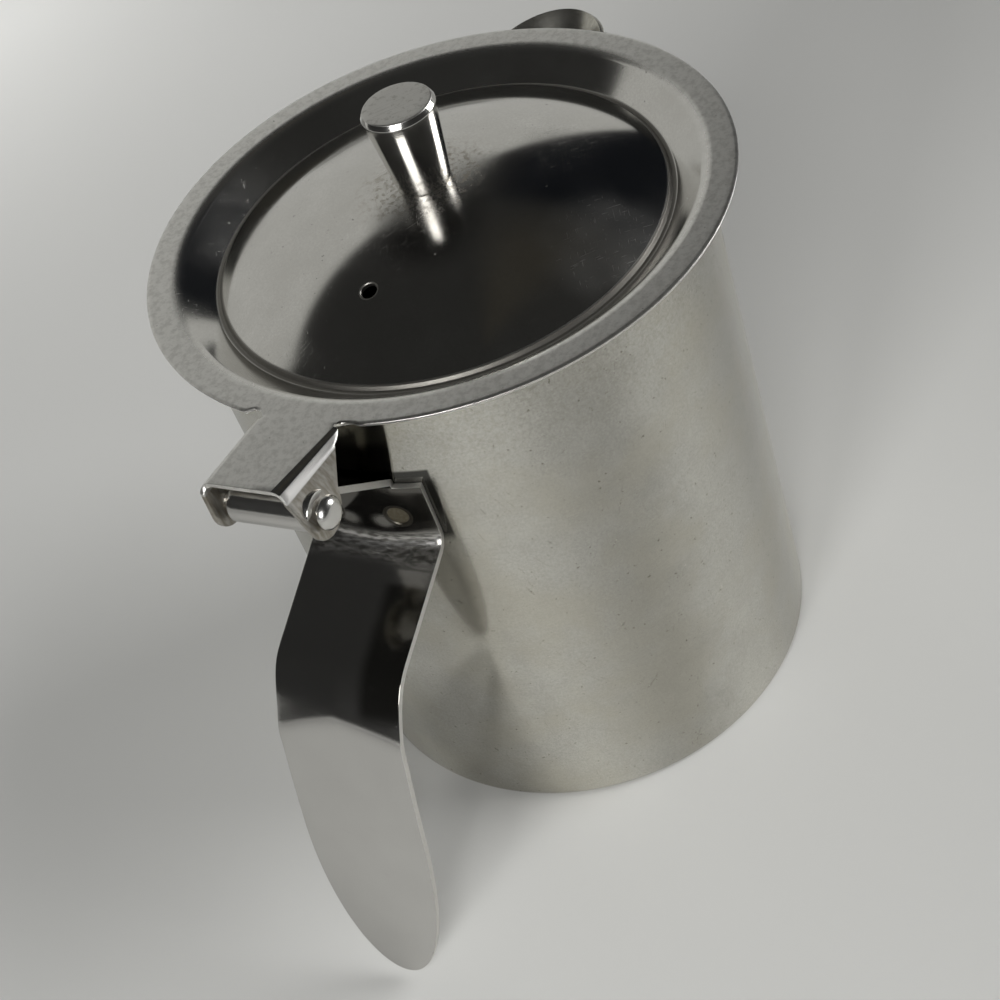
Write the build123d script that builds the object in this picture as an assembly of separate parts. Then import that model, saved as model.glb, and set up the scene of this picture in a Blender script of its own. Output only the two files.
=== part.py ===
from build123d import *
import math
import os

# A lidded steel pourer. Millimetres, Z up, origin at the centre of the underside.
# The spout points along +X, the hinge and the handle lie on -X, the hinge axis runs along Y.

# Cup
sheet = 0.8
bodyRadius = 37.15
bodyHeight = 85.9
baseCornerRadius = 1.4

# Spout: one row for each ellipse, as height, centre, reach beyond the centre and half width
spoutSections = [
    (58.0, 33.6, 2.6, 2.6),
    (72.0, 34.8, 6.0, 5.4),
    (82.0, 36.2, 9.6, 7.8),
    (bodyHeight, 37.0, 12.8, 9.7),
]

# Lid
lidRadius = 42.0
lidTop = 88.1
lidSheet = 0.7
flangeInner = 37.6
edgeDrop = 0.3
grooveOuter = 33.1
grooveInner = 32.5
grooveDepth = 3.65
domeRadius = 32.15
domeEdgeDepth = 3.2
domeRise = 4.7
rimBends = [0.12, 0.25, 1.6, 0.5]
ventRadius = 1.15
ventReach = 19.6

# Lid tab and its two ears
tabEnd = 54.3
tabHalfWidth = 7.5
tabCornerRadius = 2.2
earTipRadius = 3.5
earBack = 44.6
tabStart = 40.4
reliefWidth = 0.7
reliefDepth = 0.8

# Hinge
pinReach = 51.5
pinHeight = 83.2
pinRadius = 1.25
pinClearance = 0.05
pinHeadRadius = 2.25
pinHeadHeight = 1.4
pinHeadRound = 1.25
pinTailRadius = 1.9
pinTailHeight = 0.8

# Handle strip
stripThickness = 1.0
plateHalfWidth = 9.95
plateTop = 72.5
plateBottom = 61.2
bladeHalfWidth = 9.75
shoulderHeight = 52.0
bladeTipHeight = 2.7
bladeTipLength = 28.0
bendRadius = 2.0
diagonalStart = (-35.2, 62.8)
diagonalEnd = (-53.3, 56.0)
kneeEnd = (-60.6, 48.2)
bladeEnd = (-70.9, bladeTipHeight)
tongueHalfWidth = 6.0
tongueSlope = 45.4
tongueRun = 20.5
seamWidth = 0.3

# Spot welds in the plate
weldRadius = 1.5
weldOffset = 5.1
weldHeight = 67.0
weldSunk = 0.2

# Knob and what holds it
knobTop = 105.1
knobRimHeight = 104.3
knobTopRadius = 4.75
knobRimRadius = 5.2
knobFootRadius = 3.05
knobSink = 0.2
screwRadius = 1.25
screwDepth = 7.0
screwHeadRadius = 2.4
screwHeadHeight = 1.6
washerRadius = 3.6
washerThickness = 0.5
washerGap = 0.01

# Lengths that cutting shapes run past the solids they cut
across = 60.0
overrun = 1.0

lidUnder = lidTop - lidSheet
domeTop = lidTop + domeRise
domeDrop = domeRise + domeEdgeDepth
domeCurve = (domeRadius**2 + domeDrop**2) / (2 * domeDrop)
domeCentre = domeTop - domeCurve
wallReach = bodyRadius + stripThickness
earDepth = lidTop - pinHeight + earTipRadius
washerTop = domeTop - lidSheet - washerRadius**2 / (2 * domeCurve) - washerGap


def joined(lines):
    return Wire([edge for line in lines for edge in line.edges()])


def wallCylinder(radius):
    return Cylinder(radius, bodyHeight, align=(Align.CENTER, Align.CENTER, Align.MIN))


def spoutSolid(inset):
    ellipses = []
    for height, centre, reach, halfWidth in spoutSections:
        ellipses.append(Pos(centre, 0, height) * Ellipse(reach - inset, halfWidth - inset))
    return loft(ellipses)


def makeBody():
    outside = wallCylinder(bodyRadius)
    outside = fillet(outside.edges().sort_by(Axis.Z)[0], baseCornerRadius)
    inside = Pos(0, 0, sheet) * wallCylinder(bodyRadius - sheet)
    inside = fillet(inside.edges().sort_by(Axis.Z)[0], baseCornerRadius - sheet)
    return outside + spoutSolid(0) - inside - spoutSolid(sheet)


def lidTopLine(zShift):
    dome = ThreePointArc(
        (0, domeTop + zShift),
        (domeRadius / 2, domeCentre + math.sqrt(domeCurve**2 - domeRadius**2 / 4) + zShift),
        (domeRadius, lidTop - domeEdgeDepth + zShift),
    )
    rim = FilletPolyline(
        (domeRadius, lidTop - domeEdgeDepth + zShift),
        (grooveInner, lidTop - grooveDepth + zShift),
        (grooveOuter, lidTop - grooveDepth + zShift),
        (flangeInner, lidTop + zShift),
        (lidRadius - edgeDrop, lidTop + zShift),
        (lidRadius, lidTop - edgeDrop + zShift),
        radius=rimBends,
    )
    return dome, rim


def makeLidPan():
    dome, rim = lidTopLine(0)
    underDome, underRim = lidTopLine(-lidSheet)
    lines = [
        dome,
        rim,
        Line(rim @ 1, underRim @ 1),
        underRim,
        underDome,
        Line(underDome @ 0, dome @ 0),
    ]
    return revolve(make_face(Plane.XZ * joined(lines)), Axis.Z)


def makeTab():
    section = RectangleRounded(2 * tabHalfWidth, 2 * earDepth, tabCornerRadius)
    hollow = RectangleRounded(2 * (tabHalfWidth - lidSheet), 2 * earDepth, tabCornerRadius - lidSheet)
    channel = Pos(0, lidTop - earDepth) * section - Pos(0, lidUnder - earDepth) * hollow
    channel = Pos(-tabEnd, 0, 0) * extrude(Plane.YZ * channel, tabEnd - tabStart)
    ear = make_face(Polyline(
        (-tabEnd, lidTop),
        (-tabEnd, lidUnder),
        (-pinReach - earTipRadius, pinHeight),
        (-pinReach + earTipRadius, pinHeight),
        (-earBack, lidUnder),
        (-earBack, lidTop),
        close=True,
    ))
    tip = Pos(-pinReach, pinHeight) * Circle(earTipRadius)
    flat = Pos(-(tabEnd + tabStart) / 2, lidTop - lidSheet / 2) * Rectangle(tabEnd - tabStart, lidSheet)
    hole = Pos(-pinReach, pinHeight) * Circle(pinRadius)
    side = Plane.XZ * (ear + tip + flat - hole)
    return channel & extrude(side, across, both=True)


def makeLid():
    lid = makeLidPan() + makeTab()
    for side in (-1, 1):
        notch = Box(2 * reliefDepth, reliefWidth, 4 * lidSheet)
        lid -= Pos(-tabStart - lidSheet, side * (tabHalfWidth + reliefWidth / 2), lidTop) * notch
    lid -= Pos(0, 0, domeTop) * Cylinder(screwRadius, 4 * lidSheet)
    return lid - Pos(-ventReach, 0, domeTop - lidSheet) * Cylinder(ventRadius, 6 * lidSheet)


def makePin():
    shank = Cylinder(pinRadius, 2 * tabHalfWidth)
    head = Cylinder(pinHeadRadius, pinHeadHeight)
    head = fillet(head.edges().sort_by(Axis.Z)[-1], pinHeadRound)
    tail = Cylinder(pinTailRadius, pinTailHeight)
    tail = fillet(tail.edges().sort_by(Axis.Z)[0], pinTailHeight / 2)
    pin = (
        shank
        + Pos(0, 0, tabHalfWidth + pinHeadHeight / 2) * head
        + Pos(0, 0, -tabHalfWidth - pinTailHeight / 2) * tail
    )
    return Pos(-pinReach, 0, pinHeight) * (Rot(90, 0, 0) * pin)


def makePlate():
    shell = Cylinder(wallReach, plateTop - plateBottom) - Cylinder(bodyRadius, plateTop - plateBottom)
    clip = Pos(-wallReach / 2, 0, 0) * Box(wallReach, 2 * plateHalfWidth, plateTop)
    return Pos(0, 0, (plateTop + plateBottom) / 2) * (shell & clip)


def makeBlade():
    diagonal = Line(diagonalStart, diagonalEnd)
    knee = TangentArc(diagonal @ 1, kneeEnd, tangent=diagonal % 1)
    drop = TangentArc(knee @ 1, bladeEnd, tangent=knee % 1)
    strip = offset(joined([diagonal, knee, drop]), stripThickness, side=Side.LEFT, closed=True)
    strip = extrude(make_face(Plane.XZ * strip), plateHalfWidth, both=True)
    tip = Pos(0, bladeTipHeight + bladeTipLength) * Ellipse(bladeHalfWidth, bladeTipLength)
    blade = make_face(Polyline(
        (-bladeHalfWidth, bladeTipHeight + bladeTipLength),
        (-bladeHalfWidth, shoulderHeight),
        (-plateHalfWidth, plateBottom),
        (-plateHalfWidth, plateTop),
        (plateHalfWidth, plateTop),
        (plateHalfWidth, plateBottom),
        (bladeHalfWidth, shoulderHeight),
        (bladeHalfWidth, bladeTipHeight + bladeTipLength),
        close=True,
    ))
    return strip & extrude(Plane.YZ * (blade + tip), -2 * across)


def makeTongue():
    bore = pinRadius + pinClearance
    curl = Circle(bore + stripThickness) - Circle(bore)
    seam = Pos(bore + stripThickness, bore - seamWidth / 2) * Rectangle(2 * bore, seamWidth)
    run = Pos(tongueRun / 2, bore + stripThickness / 2) * Rectangle(tongueRun, stripThickness)
    side = Pos(-pinReach, pinHeight) * (Rot(0, 0, -tongueSlope) * (curl - seam + run))
    return extrude(Plane.XZ * side, tongueHalfWidth, both=True)


def makeWelds(end):
    depth = end - bodyRadius + overrun
    disc = Pos(end - depth / 2, 0, weldHeight) * (Rot(0, 90, 0) * Cylinder(weldRadius, depth))
    turn = math.degrees(math.asin(weldOffset / wallReach))
    return [Rot(0, 0, 180 + side * turn) * disc - wallCylinder(bodyRadius) for side in (-1, 1)]


def makeWeldPlugs():
    return Compound(children=makeWelds(wallReach - weldSunk))


def makeHandle():
    handle = makePlate() + makeBlade() + makeTongue() - wallCylinder(bodyRadius)
    bends = handle.edges().filter_by(GeomType.ELLIPSE).filter_by_position(Axis.X, -wallReach - overrun, 0)
    handle = fillet(bends.sort_by(SortBy.LENGTH)[-1], bendRadius)
    for hole in makeWelds(wallReach + overrun):
        handle -= hole
    return handle


def makeKnob():
    outline = make_face(Polyline(
        (0, domeTop - knobSink),
        (knobFootRadius, domeTop - knobSink),
        (knobRimRadius, knobRimHeight),
        (knobTopRadius, knobTop),
        (0, knobTop),
        close=True,
    ))
    knob = revolve(Plane.XZ * outline, Axis.Z) - Pos(0, 0, domeCentre) * Sphere(domeCurve)
    bore = Cylinder(screwRadius, screwDepth + knobSink)
    return knob - Pos(0, 0, domeTop + (screwDepth - knobSink) / 2) * bore


def makeWasher():
    ring = Cylinder(washerRadius, washerThickness) - Cylinder(screwRadius, washerThickness)
    return Pos(0, 0, washerTop - washerThickness / 2) * ring


def makeScrew():
    headTop = washerTop - washerThickness
    shank = Cylinder(
        screwRadius, domeTop + screwDepth - headTop, align=(Align.CENTER, Align.CENTER, Align.MIN)
    )
    head = Pos(0, 0, -screwHeadHeight / 2) * Cylinder(screwHeadRadius, screwHeadHeight)
    head = fillet(head.edges().sort_by(Axis.Z)[0], screwHeadHeight / 2)
    slot = Pos(0, 0, -screwHeadHeight) * Box(2 * screwHeadRadius, screwHeadHeight / 2, screwHeadHeight)
    return Pos(0, 0, headTop) * (head - slot + shank)


nodes = {
    "body": makeBody,
    "lid": makeLid,
    "hinge_pin": makePin,
    "handle": makeHandle,
    "weld_plugs": makeWeldPlugs,
    "knob": makeKnob,
    "knob_washer": makeWasher,
    "knob_screw": makeScrew,
}

os.makedirs("parts", exist_ok=True)
for node, make in nodes.items():
    shape = make()
    print(node, len(shape.solids()), "solids", round(shape.volume, 1), "mm3")
    export_step(shape, f"parts/{node}.step")
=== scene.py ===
import math

import bmesh
import bpy
from mathutils import Matrix, Vector
from mathutils.geometry import interpolate_bezier


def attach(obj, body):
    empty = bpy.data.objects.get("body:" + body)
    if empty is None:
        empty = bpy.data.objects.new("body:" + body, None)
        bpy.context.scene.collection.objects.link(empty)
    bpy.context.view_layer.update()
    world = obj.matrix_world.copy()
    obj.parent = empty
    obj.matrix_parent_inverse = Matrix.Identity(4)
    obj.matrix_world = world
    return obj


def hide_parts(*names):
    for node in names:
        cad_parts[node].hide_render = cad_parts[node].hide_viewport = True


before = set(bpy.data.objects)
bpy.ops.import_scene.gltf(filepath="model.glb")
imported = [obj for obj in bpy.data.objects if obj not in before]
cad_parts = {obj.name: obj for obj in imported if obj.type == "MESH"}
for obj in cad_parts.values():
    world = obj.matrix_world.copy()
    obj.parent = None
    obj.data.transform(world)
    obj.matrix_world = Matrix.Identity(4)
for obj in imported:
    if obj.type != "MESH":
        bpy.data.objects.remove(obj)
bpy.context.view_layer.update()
mm = 0.001
print("frame loaded with", len(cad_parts), "nodes")


# a socket that can be added, multiplied and so on; each sum adds its Math node
class Wire:
    def __init__(self, kit, socket):
        self.kit = kit
        self.socket = socket

    def math(self, operation, *values):
        sockets = dict(enumerate(values))
        return self.kit.node("ShaderNodeMath", {"operation": operation}, sockets)

    def __abs__(self):
        return self.math("ABSOLUTE", self)

    def call(self, operation, *values):
        return self.math(operation, self, *values)

    def out(self, name):
        return Wire(self.kit, self.socket.node.outputs[name])


def addOperator(symbol, operation):
    setattr(Wire, f"__{symbol}__", lambda wire, other: wire.math(operation, wire, other))
    setattr(Wire, f"__r{symbol}__", lambda wire, other: wire.math(operation, other, wire))


addOperator("add", "ADD")
addOperator("sub", "SUBTRACT")
addOperator("mul", "MULTIPLY")
addOperator("truediv", "DIVIDE")
addOperator("pow", "POWER")


# makes the nodes of one tree
class NodeKit:
    def __init__(self, tree):
        self.tree = tree

    def node(self, kind, settings=None, sockets=None):
        made = self.tree.nodes.new(kind)
        for name, value in (settings or {}).items():
            setattr(made, name, value)
        for key, value in (sockets or {}).items():
            if isinstance(value, Wire):
                self.tree.links.new(value.socket, made.inputs[key])
            else:
                made.inputs[key].default_value = value
        return Wire(self, made.outputs[0]) if made.outputs else None

    def parts(self, vector):
        split = self.node("ShaderNodeSeparateXYZ", {}, {0: vector})
        return split.out("X"), split.out("Y"), split.out("Z")

    def joined(self, x, y, z):
        return self.node("ShaderNodeCombineXYZ", {}, {0: x, 1: y, 2: z})

    def step(self, value, low, high, start=0.0, end=1.0):
        settings = {"interpolation_type": "SMOOTHSTEP"}
        return self.node("ShaderNodeMapRange", settings, {0: value, 1: low, 2: high, 3: start, 4: end})

    # from one colour to another; a colour is three numbers or a socket
    def tint(self, factor, dark, light):
        dark, light = [c if isinstance(c, Wire) else (*c, 1) for c in (dark, light)]
        return self.node("ShaderNodeMix", {"data_type": "RGBA"}, {0: factor, 6: dark, 7: light}).out(2)


def makeTree(name, inputs):
    tree = bpy.data.node_groups.new(name, "GeometryNodeTree")
    tree.interface.new_socket("Geometry", in_out="INPUT", socket_type="NodeSocketGeometry")
    for label, kind in inputs.items():
        tree.interface.new_socket(label, in_out="INPUT", socket_type=kind)
    tree.interface.new_socket("Geometry", in_out="OUTPUT", socket_type="NodeSocketGeometry")
    kit = NodeKit(tree)
    return kit, kit.node("NodeGroupInput")


# ends a tree: smooth faces, no instances, its material, and the way out
def endTree(kit, geometry, material):
    smooth = kit.node("GeometryNodeSetShadeSmooth", {}, {0: geometry})
    real = kit.node("GeometryNodeRealizeInstances", {}, {0: smooth})
    painted = kit.node("GeometryNodeSetMaterial", {}, {0: real, 2: material})
    kit.node("NodeGroupOutput", {}, {0: painted})


# turns a profile (a line of vertices, x its reach and z its height) round the Z axis;
# crowding draws the columns together on the +X side
def makeTurningTree():
    kit, given = makeTree("turning", {
        "Columns": "NodeSocketInt",
        "Crowding": "NodeSocketFloat",
        "Material": "NodeSocketMaterial",
    })
    profile = given.out("Geometry")
    columns = given.out("Columns")
    rows = kit.node("GeometryNodeAttributeDomainSize", {"component": "MESH"}, {0: profile})
    grid = kit.node("GeometryNodeMeshGrid", {}, {2: columns + 1, 3: rows})
    index = kit.node("GeometryNodeInputIndex")
    column = (index / rows).call("FLOOR")
    row = index - column * rows
    turn = column / columns * math.tau
    turn = turn - given.out("Crowding") * turn.call("SINE")
    place = kit.node("GeometryNodeInputPosition")
    settings = {"data_type": "FLOAT_VECTOR", "domain": "POINT"}
    point = kit.node("GeometryNodeSampleIndex", settings, {0: profile, 1: place, 2: row})
    reach, height = kit.parts(point)[::2]
    turned = kit.joined(reach * turn.call("COSINE"), reach * turn.call("SINE"), height)
    shell = kit.node("GeometryNodeSetPosition", {}, {0: grid, 2: turned})
    closed = kit.node("GeometryNodeMergeByDistance", {}, {0: shell, 2: 0.002 * mm})
    endTree(kit, closed, given.out("Material"))
    return kit.tree


turningTree = makeTurningTree()


def addPiece(name, mesh):
    piece = bpy.data.objects.new(name, mesh)
    bpy.context.collection.objects.link(piece)
    return piece


# the piece's mesh with its modifiers worked in, and no modifier left
def bake(piece):
    bpy.context.view_layer.update()
    graph = bpy.context.evaluated_depsgraph_get()
    mesh = bpy.data.meshes.new_from_object(piece.evaluated_get(graph))
    piece.modifiers.clear()
    piece.data = mesh
    mesh.name = piece.name


# a tree leaves an empty slot before its material
def dropEmptySlot(mesh):
    if mesh.materials[0] is None:
        mesh.materials.pop(index=0)
        mesh.polygons.foreach_set("material_index", [0] * len(mesh.polygons))


def applyTree(piece, tree, values):
    modifier = piece.modifiers.new(tree.name, "NODES")
    modifier.node_group = tree
    for item in tree.interface.items_tree:
        if item.in_out == "INPUT" and item.name in values:
            modifier[item.identifier] = values[item.name]
    bake(piece)
    dropEmptySlot(piece.data)


def addTurned(name, profile, columns, material, crowding=0.0):
    mesh = bpy.data.meshes.new(name)
    points = [(reach, 0, height) for reach, height in profile]
    mesh.from_pydata(points, [(i, i + 1) for i in range(len(points) - 1)], [])
    piece = addPiece(name, mesh)
    applyTree(piece, turningTree, {"Columns": columns, "Crowding": crowding, "Material": material})
    return piece


def addModifier(piece, kind, **settings):
    modifier = piece.modifiers.new(kind.lower(), kind)
    for name, value in settings.items():
        setattr(modifier, name, value)


# gives a sheet its thickness on its back, then breaks its edges
def thicken(piece, thickness, edge, rim=0):
    addModifier(piece, "SOLIDIFY", thickness=thickness, offset=-1, use_even_offset=True,
                use_quality_normals=True, material_offset_rim=rim)
    bake(piece)
    addModifier(piece, "BEVEL", width=edge, segments=2, limit_method="ANGLE",
                angle_limit=math.radians(45), use_clamp_overlap=False)
    bake(piece)


# flat faces keep their own normals beside the small curved ones
def smooth(piece, angle=40):
    piece.data.shade_smooth()
    piece.data.set_sharp_from_angle(angle=math.radians(angle))
    addModifier(piece, "WEIGHTED_NORMAL", keep_sharp=True, weight=60)
    bake(piece)


def cut(piece, cutter):
    addModifier(piece, "BOOLEAN", operation="DIFFERENCE", solver="MANIFOLD", object=cutter)
    bake(piece)
    bpy.data.objects.remove(cutter)


# corners are (reach, height, bend radius); each bend becomes an arc that touches both its runs
def bendLine(corners, steps=6):
    points = [Vector(corners[0][:2])]
    for before, here, after in zip(corners, corners[1:], corners[2:]):
        corner = Vector(here[:2])
        radius = here[2]
        back = (Vector(before[:2]) - corner).normalized()
        ahead = (Vector(after[:2]) - corner).normalized()
        if radius == 0:
            points.append(corner)
            continue
        half = back.angle(ahead) / 2
        centre = corner + (back + ahead).normalized() * radius / math.sin(half)
        first = corner + back * radius / math.tan(half) - centre
        last = corner + ahead * radius / math.tan(half) - centre
        turn = math.atan2(first.x * last.y - first.y * last.x, first.dot(last))
        points += [centre + Matrix.Rotation(turn * i / steps, 2) @ first for i in range(steps + 1)]
    points.append(Vector(corners[-1][:2]))
    return points


# a line whose runs are no longer than the longest
def divideLine(points, longest):
    divided = [points[0]]
    for start, end in zip(points, points[1:]):
        count = max(1, math.ceil((end - start).length / longest))
        divided += [start.lerp(end, i / count) for i in range(1, count + 1)]
    return divided


# an arc that leaves start along heading and ends at end, and its heading there
def tangentArc(start, heading, end, steps):
    chord = end - start
    lean = math.atan2(heading.x * chord.y - heading.y * chord.x, heading.dot(chord))
    points = []
    for i in range(1, steps + 1):
        part = lean * i / steps
        reach = chord.length * math.sin(part) / math.sin(lean)
        points.append(start + Matrix.Rotation(part, 2) @ heading.normalized() * reach)
    return points, Matrix.Rotation(2 * lean, 2) @ heading.normalized()


def slopeDirection(slope):
    return Vector((math.cos(slope), math.sin(slope)))


# a smooth run from start, along its heading, to end, along its own; share is its arms' length
def easedRun(start, heading, end, ahead, steps, share=0.36):
    arm = share * (end - start).length
    points = [start, start + heading.normalized() * arm, end - ahead.normalized() * arm, end]
    return [p.xy for p in interpolate_bezier(*[p.to_3d() for p in points], steps + 1)][1:]


def addRows(bm, rows):
    for upper, lower in zip(rows, rows[1:]):
        for i in range(len(upper) - 1):
            corners = [upper[i], upper[i + 1], lower[i + 1], lower[i]]
            corners = [v for i, v in enumerate(corners) if v not in corners[:i]]
            if len(corners) > 2:
                bm.faces.new(corners)


print("tools ready")

cameraView = {
    "place": Vector((-166.5, -125.06, 229.68)) * mm,
    "target": Vector((-18.84, -6.98, 50.0)) * mm,
    "roll": math.radians(-21.48),
    "lens": 65.38,
}


def makeCamera():
    camera = bpy.data.objects.new("camera", bpy.data.cameras.new("camera"))
    bpy.context.collection.objects.link(camera)
    forward = (cameraView["target"] - cameraView["place"]).normalized()
    side = forward.cross(Vector((0, 0, 1))).normalized()
    up = math.cos(cameraView["roll"]) * side.cross(forward) - math.sin(cameraView["roll"]) * side
    turn = Matrix((forward.cross(up), up, -forward)).transposed()
    camera.matrix_world = Matrix.Translation(cameraView["place"]) @ turn.to_4x4()
    camera.data.lens = cameraView["lens"]
    camera.data.clip_start = 0.01
    bpy.context.scene.camera = camera


makeCamera()

# two windows that show in the metal, and softer lamps for the floor: each one's azimuth and
# elevation, its distance, its size and its radiance
windows = {
    "rightWindow": (317, 20, 2.4, (1.00, 1.40), 9.0),
    "nearWindow": (190, 32, 2.4, (1.10, 1.00), 12.0),
}
floorLamps = {
    "rightSoft": (300, 42, 2.6, (1.30, 1.30), 5.95),
    "nearSoft": (180, 20, 2.6, (0.65, 0.65), 22.8),
    "leftSoft": (60, 12, 0.35, (0.16, 0.16), 2.5),
    "topSoft": (210, 42, 0.35, (0.087, 0.087), 17.5),
}
lampAim = Vector((0, 0, 40 * mm))

# a dim room with one pale wall and a pale skirting; its azimuths, heights and fading edges in degrees
room = {
    "ceiling": (0.026, 0.026, 0.025),
    "wall": (0.52, 0.52, 0.50),
    "wallAt": 50,
    "wallTop": 43.5,
    "wallRight": 44,
    "wallRise": 36,
    "wallLeft": (52, 44),
    "wallEdge": (1.2, -1.2),
    "skirting": (3.0, 1.0),
    "door": {"at": 142, "aside": (26, 16)},
    "tones": [
        {"colour": (0.038, 0.035, 0.029), "at": 2, "aside": (30, 6), "height": (46, 66)},
        {"colour": (0.006, 0.007, 0.009), "at": 348, "aside": (40, 26), "height": (52, 44)},
    ],
}


def direction(azimuth, elevation):
    a, e = math.radians(azimuth), math.radians(elevation)
    return Vector((math.cos(a) * math.cos(e), math.sin(a) * math.cos(e), math.sin(e)))


def makeLamps():
    for name, (azimuth, elevation, distance, size, radiance) in {**windows, **floorLamps}.items():
        data = bpy.data.lights.new(name, "AREA")
        data.shape = "RECTANGLE"
        data.size, data.size_y = size
        data.energy = radiance * math.pi * data.size * data.size_y
        lamp = bpy.data.objects.new(name, data)
        towards = direction(azimuth, elevation)
        lamp.location = lampAim + towards * distance
        lamp.rotation_euler = towards.to_track_quat("Z", "Y").to_euler()
        lamp.visible_camera = False
        lamp.visible_glossy = name in windows
        lamp.visible_diffuse = name in floorLamps
        bpy.context.collection.objects.link(lamp)


# degrees either side of an azimuth, from the direction's own parts
def degreesFrom(kit, x, y, azimuth):
    a = math.radians(azimuth)
    ahead = x * math.cos(a) + y * math.sin(a)
    aside = y * math.cos(a) - x * math.sin(a)
    return aside.call("ARCTAN2", ahead) * math.degrees(1)


def makeRoom():
    world = bpy.data.worlds.new("room")
    world.use_nodes = True
    world.node_tree.nodes.clear()
    bpy.context.scene.world = world
    kit = NodeKit(world.node_tree)
    x, y, z = kit.parts(kit.node("ShaderNodeTexCoord").out("Generated"))
    height = z.call("ARCSINE") * math.degrees(1)
    fromWall = degreesFrom(kit, x, y, room["wallAt"])
    # the wall's top edge falls away to its right end
    rise = ((fromWall + room["wallRight"]) / room["wallRise"]).call("MAXIMUM", 0.0) ** 0.5
    top = (rise * room["wallTop"]).call("MINIMUM", room["wallTop"])
    left = kit.step(fromWall, *room["wallLeft"])
    wall = kit.step(height - top * left, *room["wallEdge"])

    def beside(place):
        return kit.step(abs(degreesFrom(kit, x, y, place["at"])), *place["aside"])

    low = kit.step(height, *room["skirting"]) * (1.0 - beside(room["door"]))
    shade = room["ceiling"]
    for tone in room["tones"]:
        shade = kit.tint(beside(tone) * kit.step(height, *tone["height"]), shade, tone["colour"])
    shade = kit.tint(wall.call("MAXIMUM", low), shade, room["wall"])
    light = kit.node("ShaderNodeBackground", {}, {0: shade, 1: 1.0})
    kit.node("ShaderNodeOutputWorld", {}, {0: light})


makeLamps()
makeRoom()


# makes one material; its finish has layers (how strongly each covers what is under it, and its
# colour), patches (a noise's size in mm, its detail and roughness, and the levels where a patch
# fades in) and zones (for each limit, an axis and where along it the zone fades in, in mm)
class MaterialKit(NodeKit):
    def __init__(self, name, finish):
        self.material = bpy.data.materials.new(name)
        self.material.use_nodes = True
        self.material.node_tree.nodes.clear()
        super().__init__(self.material.node_tree)
        self.finish = finish
        self.place = self.node("ShaderNodeTexCoord").out("Object")

    def noise(self, size, detail=2.0, roughness=0.5):
        sockets = {0: self.place, 2: 1 / (size * mm), 3: detail, 4: roughness}
        return self.node("ShaderNodeTexNoise", {}, sockets)

    # noise over coordinates that are scaled unequally
    def drawnNoise(self, x, y, z, detail=3.0):
        sockets = {0: self.joined(x, y, z), 2: 1.0, 3: detail, 4: 0.6}
        return self.node("ShaderNodeTexNoise", {}, sockets)

    # noise drawn out along one axis, for brushing and scratches
    def streaks(self, turn, sizes, detail):
        scale = tuple(1 / (size * mm) for size in sizes)
        turned = self.node("ShaderNodeMapping", {}, {0: self.place, 2: turn})
        drawn = self.node("ShaderNodeVectorMath", {"operation": "MULTIPLY"}, {0: turned, 1: scale})
        return self.node("ShaderNodeTexNoise", {}, {0: drawn, 2: 1.0, 3: detail})

    def patches(self, size, detail, roughness, low, high):
        return self.step(self.noise(size, detail, roughness), low, high)

    def distanceFrom(self, point):
        sockets = {0: self.place, 1: point}
        return self.node("ShaderNodeVectorMath", {"operation": "DISTANCE"}, sockets).out("Value")

    def zone(self, name):
        limits = self.finish[name]
        steps = [self.step(self.axes[axis], low * mm, high * mm) for axis, low, high in limits]
        return math.prod(steps[1:], start=steps[0])

    def layer(self, name, factor, colour):
        share, shade = self.finish[name]
        return self.tint(factor * share, colour, shade)

    # haze is the share of the light that the finish throws wide
    def endMetal(self, colour, roughness, height, haze=0.0):
        normal = self.node("ShaderNodeBump", {}, {0: 1.0, 1: self.finish["depth"] * mm, 3: height})
        sockets = {"Base Color": colour, "Metallic": 1.0, "Roughness": roughness, "Normal": normal}
        shader = self.node("ShaderNodeBsdfPrincipled", {}, sockets)
        hazy = self.node("ShaderNodeBsdfPrincipled", {}, {**sockets, "Roughness": self.finish["wide"]})
        mixed = self.node("ShaderNodeMixShader", {}, {0: haze, 1: shader, 2: hazy})
        self.node("ShaderNodeOutputMaterial", {}, {0: mixed})
        return self.material


def length(a, b):
    return (a * a + b * b) ** 0.5


# a fine grain that the steels have in common, and the patches that are their pits
fineGrain = (0.35, 3.0, 0.65)
pitPatches = (0.7, 2.0, 0.5, 0.71, 0.80)

potFinish = {
    "dark": (0.50, 0.49, 0.45),
    "light": (0.64, 0.63, 0.58),
    "film": (0.45, (0.56, 0.53, 0.44)),
    "worked": (0.34, (0.34, 0.32, 0.25)),
    "brushed": (0.14, (0.36, 0.35, 0.32)),
    # the corner layer is painted shade on the wall round the handle's plate
    "corner": (0.9, (0.03, 0.03, 0.028)),
    "speck": (0.20, 0.18, 0.14),
    "speckPatches": (0.75, 2.0, 0.5, 0.695, 0.745),
    "filmPatches": (17, 3.0, 0.55, 0.42, 0.66),
    "workedPatches": (0.55, 4.0, 0.7, 0.44, 0.64),
    "workedZone": [("z", 62, 84)],
    "shelterZone": [("aside", 15, 10.5), ("x", -28, -32)],
    "plateShadowZone": [("z", 74.7, 74.2), ("z", 60.5, 62.5), ("aside", 11.2, 10.8), ("x", -28, -32)],
    "roughness": 0.16,
    "shine": 0.09,
    "haze": 0.20,
    "wide": 0.42,
    "depth": 0.006,
    # the four values from here set painted reflection bands: how many round the cup, where, and how
    # light and dark
    "reflectionStripes": 8,
    "reflectionTurn": math.radians(207.5),
    "reflectionMiddle": 0.95,
    "reflectionDepth": 0.16,
}


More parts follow.
